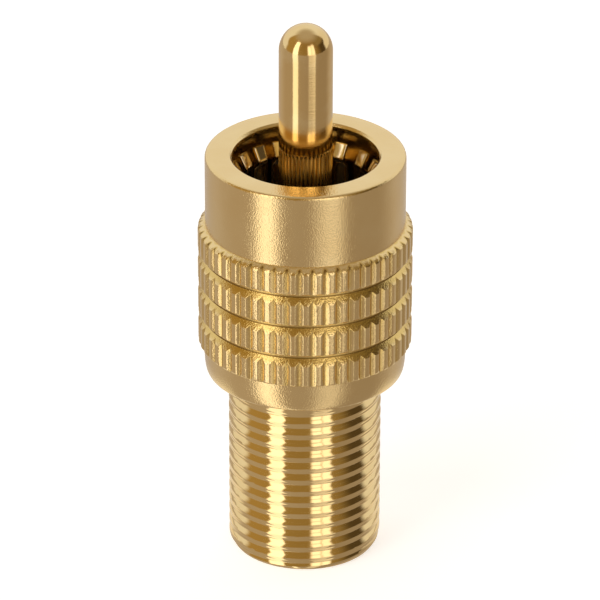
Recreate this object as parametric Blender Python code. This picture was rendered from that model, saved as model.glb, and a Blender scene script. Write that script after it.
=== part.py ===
"""A coaxial adapter: a phono plug on top, a threaded port below, standing on its threaded end.

Units are metres, +Z is up along the adapter's axis, and the origin is the middle of the
threaded end's face. Every piece is turned about that axis.
"""

import math

import bmesh
import bpy

MM = 0.001

# Clearance between pieces that are seated in or on each other
FIT_GAP = 0.03 * MM

# Threaded barrel: a 3/8-32 male thread
THREAD_RADIUS = 4.71 * MM
THREAD_PITCH = 25.4 / 32 * MM
THREAD_DEPTH = 0.24 * MM
THREAD_CREST = 0.32 * MM
THREAD_UPPER_FLANK = 0.345 * MM
THREAD_RUNOUT = 0.50 * MM
THREAD_START = math.radians(-52)
BARREL_LENGTH = 12.07 * MM
NECK_LENGTH = 0.60 * MM
END_CHAMFER_HEIGHT = 0.42 * MM
END_CHAMFER_DROP = 0.24 * MM
BARREL_BORE = 3.60 * MM
SHANK_LENGTH = 2.90 * MM

# Lower ring of the shell
SHELL_BORE = 4.95 * MM
RING_RADIUS = 6.19 * MM
RING_HEIGHT = 1.88 * MM
RING_ROUND_DROP = 0.17 * MM
RING_ROUND_HEIGHT = 1.20 * MM

# Knurled bands, and the turned grooves between them: a flat bottom and a sloping lower side
KNURL_RADIUS = 6.555 * MM
KNURL_TEETH = 52
KNURL_DEPTH = 0.165 * MM
KNURL_LAND = 0.27 * MM
KNURL_EDGE = 0.10 * MM
KNURL_START = math.radians(-86.2)
BAND_COUNT = 4
BAND_PITCH = 2.07 * MM
TOP_BAND_HEIGHT = 1.71 * MM
GROOVE_DEPTH = 0.31 * MM
GROOVE_FLAT = 0.25 * MM
GROOVE_SLOPE_HEIGHT = 0.44 * MM
SHOULDER_ROUND = 0.46 * MM

# Collar and mouth
COLLAR_RADIUS = 6.10 * MM
COLLAR_HEIGHT = 4.61 * MM
COLLAR_EDGE = 0.20 * MM
MOUTH_RADIUS = 4.61 * MM
MOUTH_EDGE = 0.06 * MM
LIP_DEPTH = 0.45 * MM

# Contact crown
FINGER_COUNT = 20
FINGER_WIDTH = 0.70 * MM
FINGER_THICKNESS = 0.28 * MM
FINGER_START = math.radians(147.7)
FINGER_COLUMNS = 2
CROWN_SETBACK = 0.25 * MM
TIP_DROP = 1.20 * MM
CONTACT_DROP = 2.12 * MM
CONTACT_INSET = 0.50 * MM
BEND_LENGTH = 0.55 * MM
CROWN_BASE_HEIGHT = 1.60 * MM

# Centre pin
PIN_RADIUS = 1.63 * MM
PIN_REACH = 8.48 * MM
PIN_TEETH = 40
PIN_TOOTH_DEPTH = 0.08 * MM
PIN_KNURL_RISE = 0.50 * MM
PIN_GRIP = 1.60 * MM
FLANGE_RADIUS = 2.30 * MM
FLANGE_HEIGHT = 0.90 * MM
TAIL_RADIUS = 0.70 * MM
TAIL_LENGTH = 3.00 * MM

# Insulators
FRONT_BUSH_HEIGHT = 3.50 * MM
REAR_RECESS = 0.25 * MM
REAR_FACE_WALL = 1.20 * MM
ENTRY_RADIUS = 0.75 * MM

# Socket contact
SOCKET_RADIUS = 1.20 * MM
SOCKET_TINES = 4
TINE_COLUMNS = 6
SOCKET_SLOT = 0.30 * MM
SOCKET_NIP_RADIUS = 0.46 * MM
SOCKET_BASE_HEIGHT = 4.20 * MM

# Facets round each piece
BARREL_SIDES = 36
PLAIN_SIDES = 40
ROUND_STEPS = 3
DOME_STEPS = 6
MERGE_DISTANCE = 0.0002 * MM
SHARP_ANGLE = math.radians(30)

# Heights that follow from the sizes above
SHELL_BOTTOM = BARREL_LENGTH
KNURL_BOTTOM = SHELL_BOTTOM + RING_HEIGHT
SHOULDER_TOP = KNURL_BOTTOM + (BAND_COUNT - 1) * BAND_PITCH + TOP_BAND_HEIGHT
COLLAR_TOP = SHOULDER_TOP + COLLAR_HEIGHT
BARREL_TOP = BARREL_LENGTH + SHANK_LENGTH
BUSH_BOTTOM = BARREL_TOP + FIT_GAP
BUSH_TOP = BUSH_BOTTOM + FRONT_BUSH_HEIGHT
CROWN_BOTTOM = BUSH_TOP + FIT_GAP
FLANGE_TOP = BUSH_BOTTOM + FLANGE_HEIGHT
SOCKET_BOTTOM = REAR_RECESS + REAR_FACE_WALL + FIT_GAP
SOCKET_TOP = BARREL_TOP - FIT_GAP

# Radii of the contact crown's fingers, which follow the shell's bore
FINGER_OUTSIDE = SHELL_BORE - CROWN_SETBACK
FINGER_INSIDE = FINGER_OUTSIDE - FINGER_THICKNESS
CONTACT_RADIUS = FINGER_INSIDE - CONTACT_INSET


def point(radius, angle, height):
    """A point from its distance to the axis, its angle and its height."""
    return (radius * math.cos(angle), radius * math.sin(angle), height)


def plain_ring(radius, height, sides, start=0.0):
    """A ring of evenly spaced points."""
    return [point(radius, start + math.tau * i / sides, height) for i in range(sides)]


def arc(centre, radii, first, last, steps):
    """Profile points (radius, height) on a quarter or part of an ellipse, both ends included."""
    points = []
    for i in range(steps + 1):
        angle = first + (last - first) * i / steps
        points.append((centre[0] + radii[0] * math.cos(angle), centre[1] + radii[1] * math.sin(angle)))
    return points


def stitch(faces, lower, upper):
    """Faces between two rings of vertex numbers, one of which may be finer, or a single pole."""
    sectors = min(len(lower), len(upper))
    if sectors == 1:
        pole, rim = (lower, upper) if len(lower) == 1 else (upper, lower)
        for i in range(len(rim)):
            faces.append((pole[0], rim[i], rim[(i + 1) % len(rim)]))
        return
    for i in range(sectors):
        face = []
        for ring, backwards in ((lower, False), (upper, True)):
            step = len(ring) // sectors
            numbers = [ring[(i * step + k) % len(ring)] for k in range(step + 1)]
            face.extend(reversed(numbers) if backwards else numbers)
        faces.append(face)


def turned(rings, is_tube):
    """Vertices and faces through rings of points; a tube's last ring joins its first."""
    vertices = []
    numbered = []
    for ring in rings:
        numbered.append(range(len(vertices), len(vertices) + len(ring)))
        vertices.extend(ring)
    faces = []
    for lower, upper in zip(numbered, numbered[1:]):
        stitch(faces, lower, upper)
    if is_tube:
        stitch(faces, numbered[-1], numbered[0])
    return vertices, faces


def material(name, colour, metallic, roughness):
    """A plain Principled material."""
    made = bpy.data.materials.new(name)
    made.use_nodes = True
    shader = made.node_tree.nodes["Principled BSDF"]
    shader.inputs["Base Color"].default_value = (*colour, 1.0)
    shader.inputs["Metallic"].default_value = metallic
    shader.inputs["Roughness"].default_value = roughness
    return made


def make_object(name, vertices, faces, surface):
    """A closed, smooth shaded object whose faces point outwards."""
    mesh = bpy.data.meshes.new(name)
    mesh.from_pydata(vertices, [], faces)
    work = bmesh.new()
    work.from_mesh(mesh)
    bmesh.ops.remove_doubles(work, verts=work.verts, dist=MERGE_DISTANCE)
    bmesh.ops.dissolve_degenerate(work, edges=work.edges, dist=MERGE_DISTANCE)
    bmesh.ops.recalc_face_normals(work, faces=work.faces)
    work.to_mesh(mesh)
    work.free()
    mesh.shade_smooth()
    mesh.set_sharp_from_angle(angle=SHARP_ANGLE)
    mesh.materials.append(surface)
    made = bpy.data.objects.new(name, mesh)
    bpy.context.scene.collection.objects.link(made)
    return made


def thread_radius(along):
    """The thread's radius at a distance up one pitch from the middle of a crest."""
    above = (along + THREAD_CREST / 2) % THREAD_PITCH - THREAD_CREST
    lower_flank = THREAD_PITCH - THREAD_CREST - THREAD_UPPER_FLANK
    to_next_crest = THREAD_PITCH - THREAD_CREST - above
    cut = min(above / THREAD_UPPER_FLANK, to_next_crest / lower_flank)
    return THREAD_RADIUS - THREAD_DEPTH * max(0.0, cut)


def barrel_outside(height, along):
    """The barrel's outer radius: the thread, kept inside the end chamfer and faded at its run-out."""
    thread_end = BARREL_LENGTH - NECK_LENGTH
    fade = min(1.0, max(0.0, (thread_end - height) / THREAD_RUNOUT))
    radius = THREAD_RADIUS - (THREAD_RADIUS - thread_radius(along)) * fade
    chamfer = THREAD_RADIUS - END_CHAMFER_DROP * (1 - height / END_CHAMFER_HEIGHT)
    return min(radius, chamfer)


def barrel_column(side):
    """One column of points up the thread, where it turns by one side for each column."""
    angle = THREAD_START + math.tau * side / BARREL_SIDES
    thread_end = BARREL_LENGTH - NECK_LENGTH
    lead = THREAD_PITCH * side / BARREL_SIDES
    turns = math.ceil(thread_end / THREAD_PITCH) + 1
    column = []
    for turn in range(-1, turns):
        for offset in (-THREAD_CREST / 2, THREAD_CREST / 2, THREAD_CREST / 2 + THREAD_UPPER_FLANK):
            height = min(max(lead + turn * THREAD_PITCH + offset, 0.0), thread_end)
            column.append(point(barrel_outside(height, height - lead), angle, height))
    return column


def threaded_barrel(surface):
    """The threaded barrel, with its plain land, its press-in shank and its bore."""
    shank_radius = SHELL_BORE - FIT_GAP
    chamfer_ring = END_CHAMFER_DROP
    columns = [barrel_column(side) for side in range(BARREL_SIDES + 1)]
    profile = [
        (THREAD_RADIUS, BARREL_LENGTH),
        (shank_radius, BARREL_LENGTH + FIT_GAP),
        (shank_radius, BARREL_TOP - chamfer_ring),
        (shank_radius - chamfer_ring, BARREL_TOP),
        (BARREL_BORE, BARREL_TOP),
        (BARREL_BORE, 0.0),
    ]
    for side, column in enumerate(columns):
        angle = THREAD_START + math.tau * side / BARREL_SIDES
        column.extend(point(radius, angle, height) for radius, height in profile)
    rows = len(columns[0])
    vertices = [vertex for column in columns for vertex in column]
    faces = []
    for side in range(BARREL_SIDES):
        for row in range(rows):
            above = (row + 1) % rows
            here, there = side * rows, (side + 1) * rows
            faces.append((here + row, there + row, there + above, here + above))
    return make_object("threaded_barrel", vertices, faces, surface)


def knurl_ring(radius, height):
    """A ring through the teeth: a valley's middle, then the two edges of the next tooth's land."""
    pitch = math.tau / KNURL_TEETH
    half_land = KNURL_LAND / KNURL_RADIUS / 2
    valley = min(radius, KNURL_RADIUS - KNURL_DEPTH)
    ring = []
    for tooth in range(KNURL_TEETH):
        angle = KNURL_START + tooth * pitch
        ring.append(point(valley, angle, height))
        ring.append(point(radius, angle + pitch / 2 - half_land, height))
        ring.append(point(radius, angle + pitch / 2 + half_land, height))
    return ring


def grip_shell(surface):
    """The outer shell: lower ring, knurled bands between grooves, collar, mouth and bore."""
    rings = []

    def smooth(radius, height):
        rings.append(plain_ring(radius, height, KNURL_TEETH, KNURL_START))

    smooth(SHELL_BORE, SHELL_BOTTOM)
    corner = (RING_RADIUS - RING_ROUND_DROP, SHELL_BOTTOM + RING_ROUND_HEIGHT)
    for radius, height in arc(corner, (RING_ROUND_DROP, RING_ROUND_HEIGHT), -math.pi / 2, 0.0, ROUND_STEPS):
        smooth(radius, height)
    smooth(RING_RADIUS, KNURL_BOTTOM)

    for band in range(BAND_COUNT):
        band_bottom = KNURL_BOTTOM + band * BAND_PITCH
        if band > 0:
            flat_bottom = band_bottom - GROOVE_FLAT
            rings.append(knurl_ring(KNURL_RADIUS, flat_bottom - GROOVE_SLOPE_HEIGHT))
            smooth(KNURL_RADIUS - GROOVE_DEPTH, flat_bottom)
            smooth(KNURL_RADIUS - GROOVE_DEPTH, band_bottom)
        rings.append(knurl_ring(KNURL_RADIUS - KNURL_EDGE, band_bottom))
        rings.append(knurl_ring(KNURL_RADIUS, band_bottom + KNURL_EDGE))
    shoulder = (COLLAR_RADIUS, SHOULDER_TOP - SHOULDER_ROUND)
    sweep = (KNURL_RADIUS - COLLAR_RADIUS, SHOULDER_ROUND)
    for radius, height in arc(shoulder, sweep, 0.0, math.pi / 2, ROUND_STEPS)[:-1]:
        rings.append(knurl_ring(radius, height))

    smooth(COLLAR_RADIUS, SHOULDER_TOP)
    edge = (COLLAR_RADIUS - COLLAR_EDGE, COLLAR_TOP - COLLAR_EDGE)
    for radius, height in arc(edge, (COLLAR_EDGE, COLLAR_EDGE), 0.0, math.pi / 2, ROUND_STEPS):
        smooth(radius, height)
    smooth(MOUTH_RADIUS + MOUTH_EDGE, COLLAR_TOP)
    smooth(MOUTH_RADIUS, COLLAR_TOP - MOUTH_EDGE)
    smooth(MOUTH_RADIUS, COLLAR_TOP - LIP_DEPTH)
    smooth(SHELL_BORE, COLLAR_TOP - LIP_DEPTH)
    return make_object("grip_shell", *turned(rings, is_tube=True), surface)


def slotted_sleeve(name, base, levels, pattern, surface):
    """A ring with fingers that grow from one of its ends, equally spaced.

    base is the ring's (inner radius, outer radius, far height, near height), where the fingers
    grow from the near height. levels are the (inner radius, outer radius, height) of the
    fingers' cross-sections, in order. pattern is the fingers' (count, width, first, columns):
    how many there are, the angle that each takes, the first one's angle and its columns of faces.
    """
    inner, outer, far, near = base
    count, width, start, columns = pattern
    pitch = math.tau / count
    vertices = []
    faces = []
    per_side = columns + 1
    rings = count * per_side

    def angle_of(number):
        finger, column = divmod(number, per_side)
        return start + finger * pitch - width / 2 + width * column / columns

    for number in range(rings):
        for radius, height in ((inner, far), (outer, far), (outer, near), (inner, near)):
            vertices.append(point(radius, angle_of(number), height))
    for number in range(rings):
        here, there = 4 * number, 4 * ((number + 1) % rings)
        for corner in range(4):
            grows = corner == 2 and number % per_side < columns
            if not grows:
                after = (corner + 1) % 4
                faces.append((here + corner, here + after, there + after, there + corner))

    for finger in range(count):
        first = finger * per_side
        inner_row = [4 * (first + column) + 3 for column in range(per_side)]
        outer_row = [4 * (first + column) + 2 for column in range(per_side)]
        for inner_radius, outer_radius, height in levels:
            new_inner = []
            new_outer = []
            for column in range(per_side):
                angle = angle_of(first + column)
                new_inner.append(len(vertices))
                vertices.append(point(inner_radius, angle, height))
                new_outer.append(len(vertices))
                vertices.append(point(outer_radius, angle, height))
            for k in range(columns):
                faces.append((inner_row[k], inner_row[k + 1], new_inner[k + 1], new_inner[k]))
                faces.append((outer_row[k], outer_row[k + 1], new_outer[k + 1], new_outer[k]))
            for k in (0, columns):
                faces.append((inner_row[k], outer_row[k], new_outer[k], new_inner[k]))
            inner_row, outer_row = new_inner, new_outer
        for k in range(columns):
            faces.append((inner_row[k], inner_row[k + 1], outer_row[k + 1], outer_row[k]))
    return make_object(name, vertices, faces, surface)


def contact_crown(surface):
    """The slotted spring ring: straight fingers that bulge inwards, then flare at their tips."""
    outer = SHELL_BORE - FIT_GAP
    tip = COLLAR_TOP - TIP_DROP
    contact = COLLAR_TOP - CONTACT_DROP
    neck = CROWN_BOTTOM + CROWN_BASE_HEIGHT + FINGER_THICKNESS
    levels = [
        (FINGER_INSIDE, FINGER_OUTSIDE, neck),
        (FINGER_INSIDE, FINGER_OUTSIDE, contact - BEND_LENGTH),
        (CONTACT_RADIUS, CONTACT_RADIUS + FINGER_THICKNESS, contact),
        (FINGER_INSIDE, FINGER_OUTSIDE, tip),
    ]
    base = (FINGER_INSIDE, outer, CROWN_BOTTOM, CROWN_BOTTOM + CROWN_BASE_HEIGHT)
    pattern = (FINGER_COUNT, FINGER_WIDTH / CONTACT_RADIUS, FINGER_START, FINGER_COLUMNS)
    return slotted_sleeve("contact_crown", base, levels, pattern, surface)


def socket_contact(surface):
    """The slotted socket: a tube whose tines close in towards the entry hole."""
    bore = TAIL_RADIUS + FIT_GAP
    near = SOCKET_TOP - SOCKET_BASE_HEIGHT
    base = (bore, SOCKET_RADIUS, SOCKET_TOP, near)
    nip_height = SOCKET_BOTTOM + SOCKET_RADIUS
    levels = [
        (SOCKET_NIP_RADIUS, SOCKET_RADIUS, nip_height),
        (bore, SOCKET_RADIUS, SOCKET_BOTTOM),
    ]
    width = math.tau / SOCKET_TINES - SOCKET_SLOT / SOCKET_RADIUS
    pattern = (SOCKET_TINES, width, 0.0, TINE_COLUMNS)
    return slotted_sleeve("socket_contact", base, levels, pattern, surface)


def pin_tooth_ring(height):
    """A ring through the pin's fine straight teeth, a valley and a crest for each tooth."""
    ring = []
    for tooth in range(PIN_TEETH):
        angle = math.tau * tooth / PIN_TEETH
        ring.append(point(PIN_RADIUS - PIN_TOOTH_DEPTH, angle, height))
        ring.append(point(PIN_RADIUS, angle + math.pi / PIN_TEETH, height))
    return ring


def center_pin(surface):
    """The domed pin: smooth above, knurled at its base, with a flange and a thin tail."""
    rings = []

    def smooth(radius, height):
        rings.append(plain_ring(radius, height, PIN_TEETH))

    tail_end = BUSH_BOTTOM - TAIL_LENGTH
    rings.append([(0.0, 0.0, tail_end)])
    smooth(TAIL_RADIUS, tail_end)
    smooth(TAIL_RADIUS, BUSH_BOTTOM)
    smooth(FLANGE_RADIUS, BUSH_BOTTOM)
    smooth(FLANGE_RADIUS, FLANGE_TOP)
    smooth(PIN_RADIUS - PIN_TOOTH_DEPTH, FLANGE_TOP)
    smooth(PIN_RADIUS - PIN_TOOTH_DEPTH, BUSH_TOP - PIN_GRIP)
    knurl_top = COLLAR_TOP + PIN_KNURL_RISE
    rings.append(pin_tooth_ring(BUSH_TOP - PIN_GRIP + PIN_TOOTH_DEPTH))
    rings.append(pin_tooth_ring(knurl_top - PIN_TOOTH_DEPTH))
    smooth(PIN_RADIUS, knurl_top)
    dome = (0.0, COLLAR_TOP + PIN_REACH - PIN_RADIUS)
    for radius, height in arc(dome, (PIN_RADIUS, PIN_RADIUS), 0.0, math.pi / 2, DOME_STEPS)[:-1]:
        smooth(radius, height)
    rings.append([(0.0, 0.0, COLLAR_TOP + PIN_REACH)])
    return make_object("center_pin", *turned(rings, is_tube=False), surface)


def pin_insulator(surface):
    """The front bush, which seats in the shell's bore and holds the pin by its flange."""
    profile = [
        (FLANGE_RADIUS + FIT_GAP, BUSH_BOTTOM),
        (SHELL_BORE - FIT_GAP, BUSH_BOTTOM),
        (SHELL_BORE - FIT_GAP, BUSH_TOP),
        (PIN_RADIUS + FIT_GAP, BUSH_TOP),
        (PIN_RADIUS + FIT_GAP, FLANGE_TOP + FIT_GAP),
        (FLANGE_RADIUS + FIT_GAP, FLANGE_TOP + FIT_GAP),
    ]
    rings = [plain_ring(radius, height, PLAIN_SIDES) for radius, height in profile]
    return make_object("pin_insulator", *turned(rings, is_tube=True), surface)


def rear_insulator(surface):
    """The insulator in the barrel: an entry hole in its face, and a bore for the socket."""
    profile = [
        (ENTRY_RADIUS, REAR_RECESS),
        (BARREL_BORE - FIT_GAP, REAR_RECESS),
        (BARREL_BORE - FIT_GAP, BARREL_TOP),
        (SOCKET_RADIUS + FIT_GAP, BARREL_TOP),
        (SOCKET_RADIUS + FIT_GAP, REAR_RECESS + REAR_FACE_WALL),
        (ENTRY_RADIUS, REAR_RECESS + REAR_FACE_WALL),
    ]
    rings = [plain_ring(radius, height, PLAIN_SIDES) for radius, height in profile]
    return make_object("rear_insulator", *turned(rings, is_tube=True), surface)


def main():
    """Clear the scene and build the adapter."""
    for old in list(bpy.data.objects):
        bpy.data.objects.remove(old, do_unlink=True)
    gold = (0.83, 0.60, 0.27)
    threaded_barrel(material("barrel_gold", gold, 1.0, 0.18))
    grip_shell(material("shell_gold", gold, 1.0, 0.30))
    contact_crown(material("crown_gold", gold, 1.0, 0.20))
    center_pin(material("pin_gold", gold, 1.0, 0.22))
    socket_contact(material("socket_gold", gold, 1.0, 0.25))
    pin_insulator(material("front_bush_plastic", (0.03, 0.03, 0.03), 0.0, 0.45))
    rear_insulator(material("rear_bush_plastic", (0.80, 0.79, 0.74), 0.0, 0.45))


main()
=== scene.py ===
"""Dresses the coaxial adapter: fine turned surfaces, plated finishes, a studio and a camera.

Lengths are metres in the frame of the solids: +Z runs up the adapter's axis, the threaded end
stands on z = 0 and the camera looks from -Y. Angles round the axis are measured from +X.
"""
import logging
import math
from dataclasses import dataclass, field
from enum import Enum

import bmesh
import bpy
import numpy as np
from mathutils import Matrix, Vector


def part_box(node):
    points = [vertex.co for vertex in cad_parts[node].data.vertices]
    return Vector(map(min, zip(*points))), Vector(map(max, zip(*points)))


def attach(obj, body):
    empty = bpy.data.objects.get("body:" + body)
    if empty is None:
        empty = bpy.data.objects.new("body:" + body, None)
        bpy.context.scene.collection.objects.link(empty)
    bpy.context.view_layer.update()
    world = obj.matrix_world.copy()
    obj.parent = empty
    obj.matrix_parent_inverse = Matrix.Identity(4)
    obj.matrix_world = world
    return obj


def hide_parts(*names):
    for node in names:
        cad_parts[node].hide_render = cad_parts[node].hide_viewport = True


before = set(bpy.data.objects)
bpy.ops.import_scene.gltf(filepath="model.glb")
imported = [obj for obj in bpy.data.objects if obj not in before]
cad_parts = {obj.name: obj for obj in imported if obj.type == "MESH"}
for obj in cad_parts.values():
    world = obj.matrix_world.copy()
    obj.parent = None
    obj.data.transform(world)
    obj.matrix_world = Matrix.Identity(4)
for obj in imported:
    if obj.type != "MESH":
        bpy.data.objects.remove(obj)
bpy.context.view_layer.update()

LOG = logging.getLogger("adapter")
MM = 0.001
BODY = "root"
MERGE_DISTANCE = 0.0003 * MM
CREASE_DEG = 35.0

Colour = tuple[float, float, float]
Span = tuple[float, float]
Row = tuple[np.ndarray, np.ndarray, np.ndarray]

WHITE: Colour = (1.0, 1.0, 1.0)
GOLD_PALE: Colour = (0.99, 0.755, 0.375)
GOLD_DEEP: Colour = (0.93, 0.665, 0.295)
SPRING_PALE: Colour = (0.88, 0.80, 0.66)
# Painted shade: the deepened gold and the brown that valleys, grooves, creases and the bore are tinted
# towards, where shade falls.
SHADE_GOLD: Colour = (0.88, 0.63, 0.22)
SHADE_BROWN: Colour = (0.30, 0.17, 0.04)


class Closure(Enum):
    """How the rows of a turned surface end."""

    TUBE = "the last row joins the first"
    POLES = "the first and the last row are single points on the axis"


def soft_min(first: np.ndarray, second: np.ndarray, blend: float) -> np.ndarray:
    """The lower of two values, with the corner between them rounded.

    Half of (a + b - sqrt((a - b)^2 + blend^2)), which stays just under both.

    Args:
        first: one set of values.
        second: the other set.
        blend: how wide the rounded corner is, in the values' own unit.

    Returns:
        The blended minimum.
    """
    return 0.5 * (first + second - np.sqrt((first - second) ** 2 + blend**2))


def soft_abs(value: np.ndarray, blend: float) -> np.ndarray:
    """The absolute value with a round bottom, sqrt(value^2 + blend^2)."""
    return np.sqrt(value**2 + blend**2)


def ease(value: np.ndarray | float) -> np.ndarray | float:
    """The smooth step 3t^2 - 2t^3 from 0 to 1, of a value held between 0 and 1."""
    held = np.clip(value, 0.0, 1.0)
    return held * held * (3.0 - 2.0 * held)


def filleted(corners: list[tuple[float, float, float]], steps: int, closed: bool) -> np.ndarray:
    """A profile with its corners rounded.

    Each corner is cut back along both of its edges by its fillet's reach, and a quadratic
    curve through the corner's point joins the two cuts.

    Args:
        corners: (radius, height, reach of the fillet) for each corner, in order.
        steps: points along a fillet, less one.
        closed: whether the last corner is joined to the first.

    Returns:
        An array of (radius, height) points.
    """
    points = np.array([corner[:2] for corner in corners])
    made = []
    share = np.linspace(0.0, 1.0, steps + 1)[:, None]
    for place, (point, corner) in enumerate(zip(points, corners)):
        inner = closed or 0 < place < len(points) - 1
        if not inner or corner[2] == 0.0:
            made.append(point[None, :])
            continue
        before = points[place - 1] - point
        after = points[(place + 1) % len(points)] - point
        start = point + before / np.linalg.norm(before) * corner[2]
        end = point + after / np.linalg.norm(after) * corner[2]
        made.append((1 - share) ** 2 * start + 2 * share * (1 - share) * point + share**2 * end)
    return np.concatenate(made)


def mesh_object(
    name: str,
    vertices: np.ndarray,
    faces: np.ndarray,
    crease_deg: float = CREASE_DEG,
    hollow: np.ndarray | None = None,
) -> bpy.types.Object:
    """Puts arrays into a mesh, merges doubles and turns its faces outwards.

    Args:
        name: the object's name.
        vertices: an array of points.
        faces: an array of quads, as vertex numbers.
        crease_deg: an edge sharper than this stays a sharp edge in the shading.
        hollow: for each point, from 0 to 1, the painted shade and added roughness it takes in a valley,
            groove, crease or bore.

    Returns:
        The linked object, smooth shaded, with its place in its mesh.
    """
    mesh = bpy.data.meshes.new(name)
    mesh.vertices.add(len(vertices))
    mesh.vertices.foreach_set("co", np.ascontiguousarray(vertices, dtype=np.float32).ravel())
    mesh.loops.add(faces.size)
    mesh.loops.foreach_set("vertex_index", np.ascontiguousarray(faces, dtype=np.int32).ravel())
    mesh.polygons.add(len(faces))
    mesh.polygons.foreach_set("loop_start", np.arange(0, faces.size, 4, dtype=np.int32))
    mesh.update(calc_edges=True)
    if hollow is not None:
        shades = mesh.attributes.new("hollow", "FLOAT", "POINT").data
        shades.foreach_set("value", hollow.astype(np.float32).ravel())
    work = bmesh.new()
    work.from_mesh(mesh)
    bmesh.ops.remove_doubles(work, verts=work.verts, dist=MERGE_DISTANCE)
    bmesh.ops.recalc_face_normals(work, faces=work.faces)
    work.to_mesh(mesh)
    work.free()
    mesh.shade_smooth()
    mesh.set_sharp_from_angle(angle=math.radians(crease_deg))
    made = bpy.data.objects.new(name, mesh)
    bpy.context.scene.collection.objects.link(made)
    return made


def grid_faces(rows: int, columns: int, wraps: bool, first: int = 0) -> np.ndarray:
    """Quads over a grid of points whose columns close round the axis.

    Args:
        rows: number of rows.
        columns: number of columns.
        wraps: whether the last row joins the first.
        first: the number of the grid's first vertex.

    Returns:
        An array of quads.
    """
    row = np.arange(rows if wraps else rows - 1)[:, None]
    column = np.arange(columns)[None, :]
    above = (row + 1) % rows
    beside = (column + 1) % columns
    low, high = row * columns, above * columns
    corners = (low + column, low + beside, high + beside, high + column)
    return np.stack(corners, axis=-1).reshape(-1, 4) + first


def around(radius: np.ndarray, angle: np.ndarray, height: np.ndarray) -> np.ndarray:
    """Points from distances to the axis, angles and heights, broadcast to one shape."""
    radius, angle, height = np.broadcast_arrays(radius, angle, height)
    return np.stack((radius * np.cos(angle), radius * np.sin(angle), height), axis=-1)


def turned_object(
    name: str,
    radius: np.ndarray,
    height: np.ndarray,
    angle: np.ndarray,
    closure: Closure,
    crease_deg: float = CREASE_DEG,
    hollow: np.ndarray | None = None,
) -> bpy.types.Object:
    """A surface turned about the axis, whose radius and height may change with the angle.

    Args:
        name: the object's name.
        radius: rows by columns of distances to the axis, or rows by one.
        height: heights, in the same form.
        angle: one angle for each column.
        closure: how the rows end.
        crease_deg: an edge sharper than this stays sharp.
        hollow: for each point, from 0 to 1, the painted shade and added roughness in a valley, groove,
            crease or bore.

    Returns:
        The linked object.
    """
    points = around(radius, angle[None, :], height)
    faces = grid_faces(points.shape[0], points.shape[1], closure is Closure.TUBE)
    return mesh_object(name, points.reshape(-1, 3), faces, crease_deg, hollow)
def joined_object(name: str, grids: list[tuple[np.ndarray, bool]]) -> bpy.types.Object:
    """One mesh from several grids of points.

    Args:
        name: the object's name.
        grids: each grid of points, with whether its last row joins the first.

    Returns:
        The linked object.
    """
    faces, count = [], 0
    for points, wraps in grids:
        faces.append(grid_faces(points.shape[0], points.shape[1], wraps, count))
        count += points.shape[0] * points.shape[1]
    vertices = np.concatenate([points.reshape(-1, 3) for points, _ in grids])
    return mesh_object(name, vertices, np.concatenate(faces))


class Sheet:
    """A node tree with short ways to add nodes and join them."""

    def __init__(self, tree: bpy.types.NodeTree) -> None:
        """Keeps the tree that nodes are added to."""
        self.tree = tree

    def feed(self, socket: bpy.types.NodeSocket, value: object) -> None:
        """Joins a socket to another one, or sets its value; a tuple is an opaque colour."""
        if isinstance(value, bpy.types.NodeSocket):
            self.tree.links.new(value, socket)
        else:
            socket.default_value = (*value, 1.0) if isinstance(value, tuple) else value

    def add(self, kind: str, feeds: dict | None = None, **settings: object) -> bpy.types.Node:
        """Adds a node of a kind, sets its properties and feeds its inputs by name or number."""
        node = self.tree.nodes.new(kind)
        for key, value in settings.items():
            setattr(node, key, value)
        for key, value in (feeds or {}).items():
            self.feed(node.inputs[key], value)
        return node

    def group(self, tree: bpy.types.NodeTree, **feeds: object) -> bpy.types.NodeOutputs:
        """Adds a node group, feeds its inputs and gives its outputs."""
        return self.add("ShaderNodeGroup", feeds, node_tree=tree).outputs

    def place(self) -> bpy.types.NodeSocket:
        """The object's own coordinates."""
        return self.add("ShaderNodeTexCoord").outputs["Object"]

    def length(self, vector: object) -> bpy.types.NodeSocket:
        """The length of a vector."""
        return self.add("ShaderNodeVectorMath", {0: vector}, operation="LENGTH").outputs["Value"]

    def maths(self, operation: str, *values: object) -> bpy.types.NodeSocket:
        """The result of a Math node."""
        return self.add("ShaderNodeMath", dict(enumerate(values)), operation=operation).outputs[0]

    def ramp(self, value: object, start: float, end: float, low: float = 0.0, high: float = 1.0) -> object:
        """A smooth step of a value: low up to start, high from end on."""
        feeds = dict(enumerate((value, start, end, low, high)))
        return self.add("ShaderNodeMapRange", feeds, interpolation_type="SMOOTHSTEP").outputs[0]

    def edge(self, value: object, middle: float, softness: float, falls: bool = False) -> object:
        """A smooth step about a middle, up to 1 or, where it falls, down to 0."""
        low, high = (1.0, 0.0) if falls else (0.0, 1.0)
        return self.ramp(value, middle - softness, middle + softness, low, high)

    def blend(self, factor: object, first: object, second: object, kind: str = "MIX") -> object:
        """A mix of two colours."""
        feeds = {"Factor": factor, 6: first, 7: second}
        return self.add("ShaderNodeMix", feeds, data_type="RGBA", blend_type=kind).outputs[2]

    def mix(self, factor: object, first: object, second: object) -> bpy.types.NodeSocket:
        """A mix of two shaders."""
        return self.add("ShaderNodeMixShader", {"Fac": factor, 1: first, 2: second}).outputs[0]

    def noise(self, vector: object, scale: object, detail: float) -> bpy.types.NodeSocket:
        """The value of a noise, about 0.5 in the middle."""
        feeds = {"Vector": vector, "Scale": scale, "Detail": detail}
        return self.add("ShaderNodeTexNoise", feeds).outputs["Fac"]

    def surface(self, colour: object, roughness: object, height: object, metallic: float) -> None:
        """Feeds the material's Principled node; the height of its bump is in metres."""
        bump = self.add("ShaderNodeBump", {"Distance": 1.0, "Height": height}).outputs["Normal"]
        shader = self.tree.nodes["Principled BSDF"]
        feeds = {"Base Color": colour, "Roughness": roughness, "Metallic": metallic, "Normal": bump}
        for key, value in feeds.items():
            self.feed(shader.inputs[key], value)


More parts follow.
